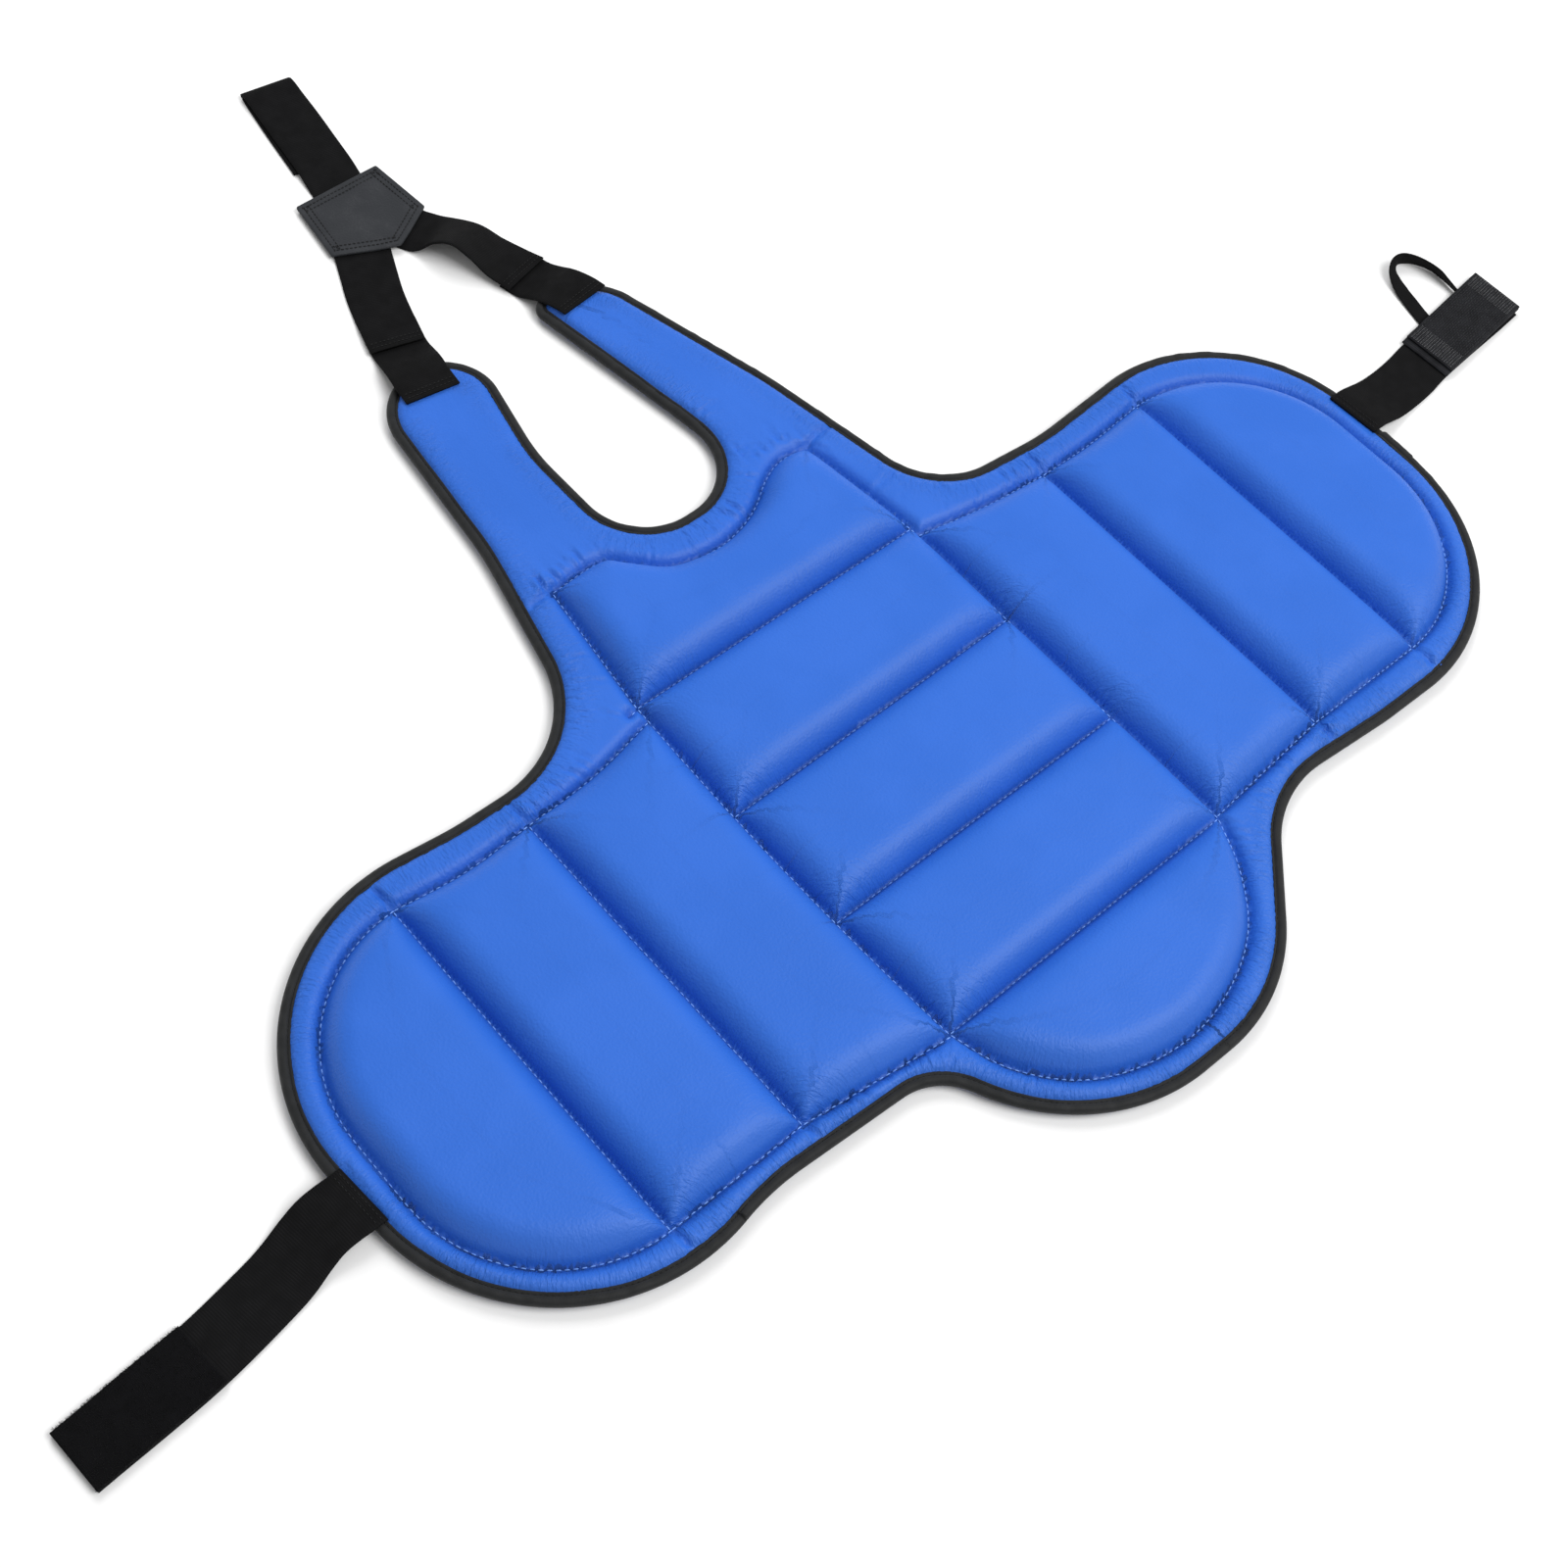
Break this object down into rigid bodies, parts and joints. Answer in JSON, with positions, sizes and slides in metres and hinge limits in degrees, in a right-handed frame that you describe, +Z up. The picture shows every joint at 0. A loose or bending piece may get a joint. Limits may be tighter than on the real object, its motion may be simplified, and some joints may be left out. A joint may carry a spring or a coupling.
{
  "type": "body protector",
  "caption": "Quilted padded chest and belly guard with side wings, shoulder pads, bound edges and elastic straps with a hook-and-loop waist fastening, lying flat on its back.",
  "frame": {"origin": "on the flat back of the panel, on its middle line, under the seam between the two upper belly rows", "axes": "+X across the chest towards the wing with the hook strap, +Y from the waist to the shoulders, +Z up through the padding"},
  "size_m": [1.2329, 0.9613, 0.025],
  "materials": {
    "panel_leather": "blue coated leather, satin",
    "binding_tape": "black bias tape",
    "elastic": "black woven elastic",
    "yoke_leather": "charcoal coated leather",
    "loop_pile": "black loop pile",
    "hook_tape": "black moulded hooks"
  },
  "bodies": {
    "root": {"body_panel": "panel_leather", "edge_binding": "binding_tape", "shoulder_tab_left": "elastic", "shoulder_tab_right": "elastic", "shoulder_elastic_left": "elastic", "shoulder_elastic_right": "elastic", "yoke_patch": "yoke_leather", "yoke_elastic": "elastic", "waist_strap_left": "elastic", "loop_tape": "loop_pile", "waist_strap_right": "elastic", "hook_backing": "hook_tape", "hook_tape": "hook_tape", "finger_loop": "elastic"}
  },
  "joints": []
}
